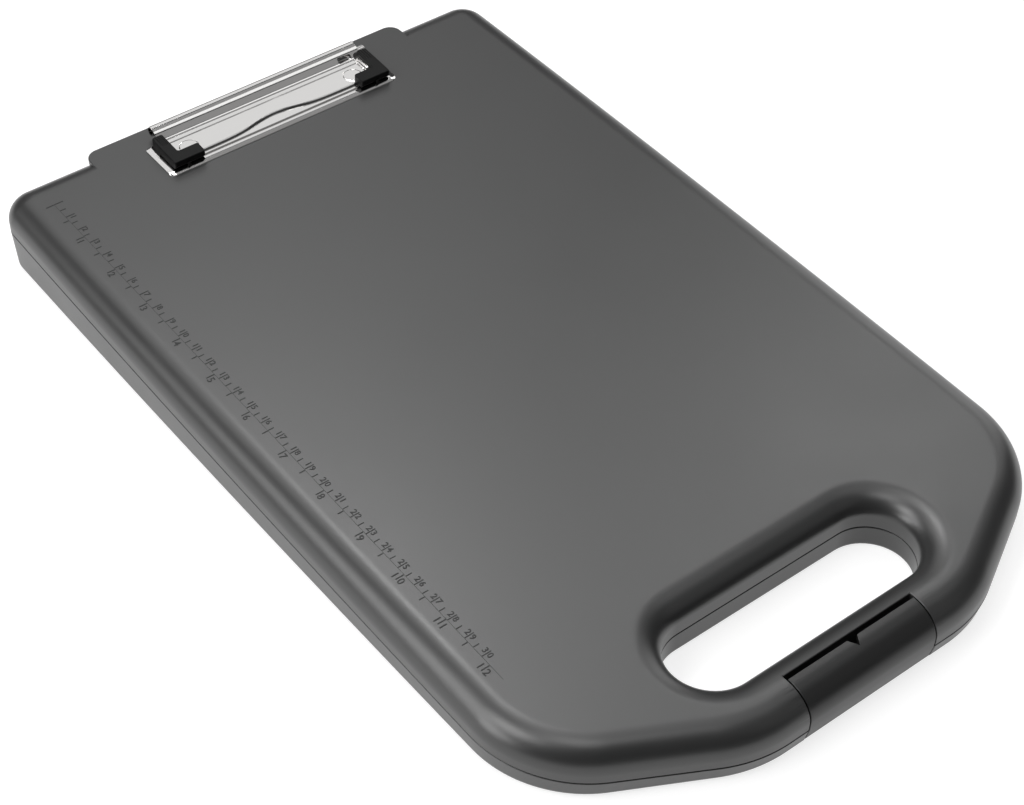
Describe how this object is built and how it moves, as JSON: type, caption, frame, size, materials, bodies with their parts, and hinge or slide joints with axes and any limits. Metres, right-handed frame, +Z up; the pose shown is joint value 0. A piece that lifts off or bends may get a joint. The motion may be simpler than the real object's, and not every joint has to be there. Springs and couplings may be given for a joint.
{
  "type": "storage clipboard box",
  "caption": "Slim wedge-shaped document case whose hinged lid is a clipboard, with a sprung paper clip, a carrying handle and a swing latch.",
  "frame": {"origin": "middle of the flat bottom that the case stands on", "axes": "+X across the case to the side away from the ruler, +Y along the case to the clip and hinge end, +Z up"},
  "size_m": [0.2544, 0.4062, 0.0431],
  "materials": {
    "case_plastic": "fine satin grain",
    "latch_plastic": "satin",
    "clip_chrome": "bright plated sheet",
    "grip_plastic": "satin",
    "pin_steel": "drawn rod",
    "spring_steel": "drawn wire",
    "rivet_steel": "plated"
  },
  "bodies": {
    "tray": {"base_tray": "case_plastic", "hinge_pin_left": "pin_steel", "hinge_pin_right": "pin_steel", "latch_pin": "pin_steel"},
    "lid": {"lid_shell": "case_plastic", "clip_base_plate": "clip_chrome", "clip_pivot_rod": "pin_steel", "clip_rivets": "rivet_steel", "rivet_washers": "rivet_steel"},
    "latch": {"latch_cover": "latch_plastic"},
    "jaw": {"clip_jaw": "clip_chrome", "clip_grip_left": "grip_plastic", "clip_grip_right": "grip_plastic", "clip_spring_left": "spring_steel", "clip_spring_right": "spring_steel"}
  },
  "joints": [
    {"name": "lid_hinge", "type": "hinge", "parent": "tray", "child": "lid", "pos_m": [0, 0.20042, 0.03062], "axis": [-1, 0, 0], "range_deg": [0, 120]},
    {"name": "latch_swing", "type": "hinge", "parent": "tray", "child": "latch", "pos_m": [0, -0.19806, 0.0043], "axis": [1, 0, 0], "range_deg": [0, 60]},
    {"name": "clip_opening", "type": "hinge", "parent": "lid", "child": "jaw", "pos_m": [0, 0.19017, 0.03841], "axis": [-1, 0, 0], "range_deg": [0, 25], "stiffness_Nm_per_rad": 0.25, "springref_deg": -34.38}
  ]
}
